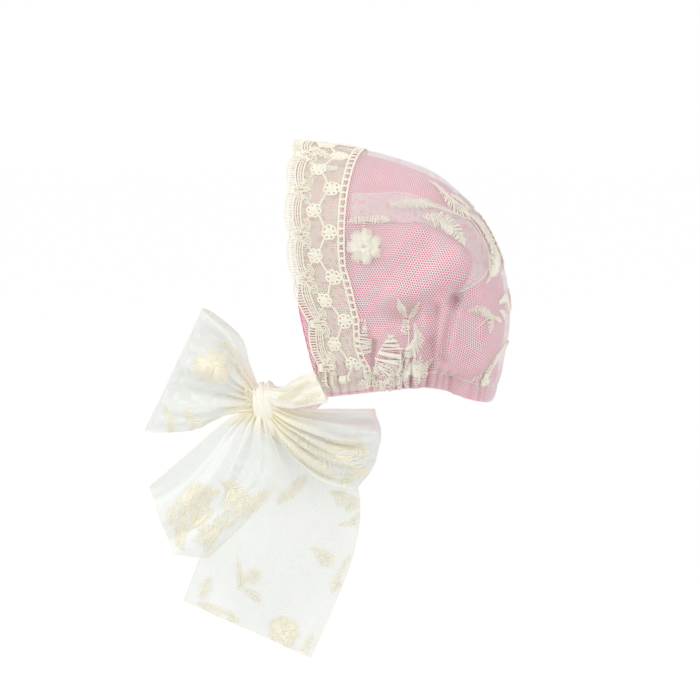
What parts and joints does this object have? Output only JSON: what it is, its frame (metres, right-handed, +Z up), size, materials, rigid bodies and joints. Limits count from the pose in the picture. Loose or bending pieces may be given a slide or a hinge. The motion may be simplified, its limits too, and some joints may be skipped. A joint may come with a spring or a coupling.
{
  "type": "baby bonnet",
  "caption": "Baby bonnet of pink satin under ivory embroidered net, with a scalloped lace face band, a gathered neck casing and wide net ties in a bow.",
  "frame": {"origin": "the inner top of the crown, where a head holds the bonnet up", "axes": "+Z up, -Y out of the face opening, +X towards the wearer's left"},
  "size_m": [0.1178, 0.2266, 0.3258],
  "materials": {
    "pink_satin": "soft pink satin",
    "ivory_net": "ivory tulle with satin stitch embroidery",
    "cotton_lace": "ivory guipure lace",
    "ribbon_net": "sheer ivory net ribbon with embroidery"
  },
  "bodies": {
    "root": {"crown_panel": "pink_satin", "side_panel_left": "pink_satin", "side_panel_right": "pink_satin", "net_overlay": "ivory_net", "face_lace": "cotton_lace", "neck_casing": "pink_satin", "tie_strap_left": "ribbon_net", "tie_strap_right": "ribbon_net", "bow_knot": "ribbon_net", "bow_loop_front": "ribbon_net", "bow_loop_back": "ribbon_net", "bow_tail_front": "ribbon_net", "bow_tail_back": "ribbon_net"}
  },
  "joints": []
}
